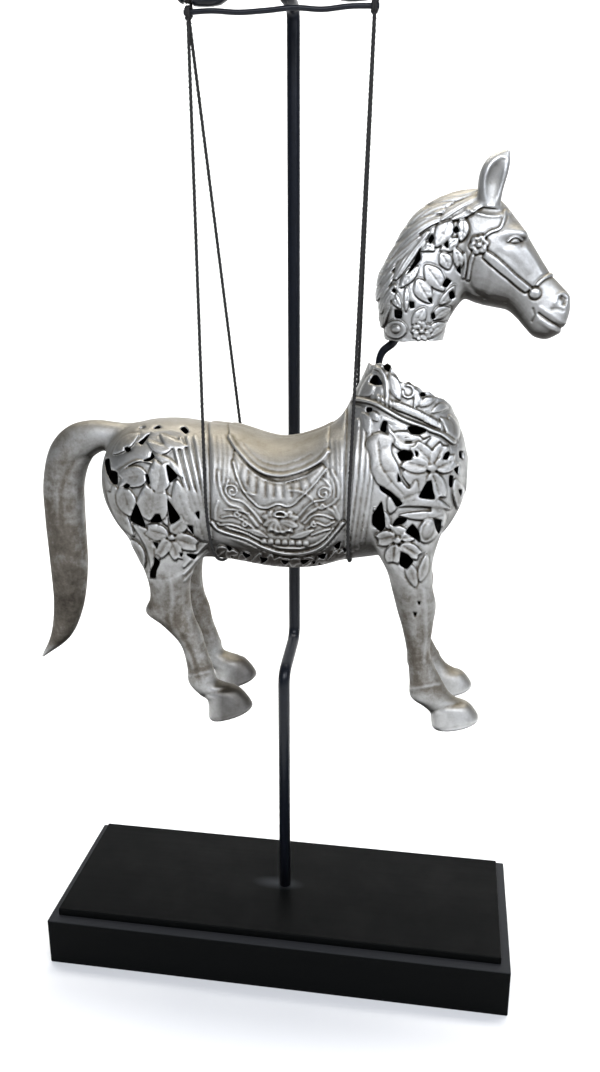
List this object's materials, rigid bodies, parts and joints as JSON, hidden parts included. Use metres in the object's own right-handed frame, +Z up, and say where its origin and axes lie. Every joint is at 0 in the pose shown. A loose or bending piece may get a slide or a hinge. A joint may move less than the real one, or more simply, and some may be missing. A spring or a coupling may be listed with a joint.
{
  "type": "hanging metal horse sculpture on a plinth stand",
  "caption": "Cast openwork metal horse with carved saddle, leaves and flowers, hung in cord slings from a cranked rod on a stepped black plinth.",
  "frame": {"origin": "middle of the plinth's underside", "axes": "+Z up; +X towards the horse's head, along the plinth's length; the horse's near side faces -Y and the rod passes behind it on +Y"},
  "size_m": [0.4068, 0.138, 0.751],
  "materials": {
    "cast_metal": "cast and hand polished, grey patina in the hollows",
    "plinth_wood": "satin black paint with dusty rubbed edges",
    "black_iron": "satin black paint",
    "black_cord": "twisted matt cord"
  },
  "bodies": {
    "root": {"base_block": "plinth_wood", "base_top_panel": "plinth_wood", "stand_rod": "black_iron", "hanger_bar": "black_iron", "spreader_bar": "black_iron", "horse_body": "cast_metal", "horse_head": "cast_metal", "neck_link": "black_iron", "rear_sling": "black_cord", "front_sling": "black_cord"}
  },
  "joints": []
}
